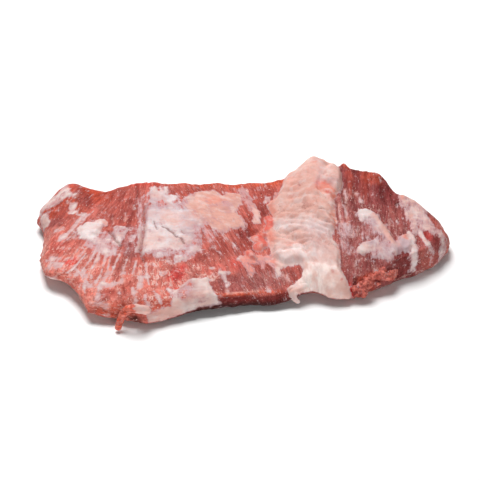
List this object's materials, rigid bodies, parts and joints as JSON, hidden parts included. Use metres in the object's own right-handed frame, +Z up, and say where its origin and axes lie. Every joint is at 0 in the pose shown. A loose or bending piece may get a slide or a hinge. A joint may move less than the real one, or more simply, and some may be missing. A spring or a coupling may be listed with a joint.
{
  "type": "raw pork secreto",
  "caption": "Raw pork secreto: a thin fan-shaped cut of marbled shoulder meat with a raised band of fat across its thick end, lying flat.",
  "frame": {"origin": "middle of the cut's footprint, on the surface it lies on", "axes": "+X along the cut towards its pointed thick end, +Y from its front edge to its back edge, +Z up through its thickness"},
  "size_m": [0.2657, 0.1528, 0.0361],
  "materials": {
    "meat": "raw and wet, pink red with cream fat"
  },
  "bodies": {
    "root": {"secreto": "meat"}
  },
  "joints": []
}
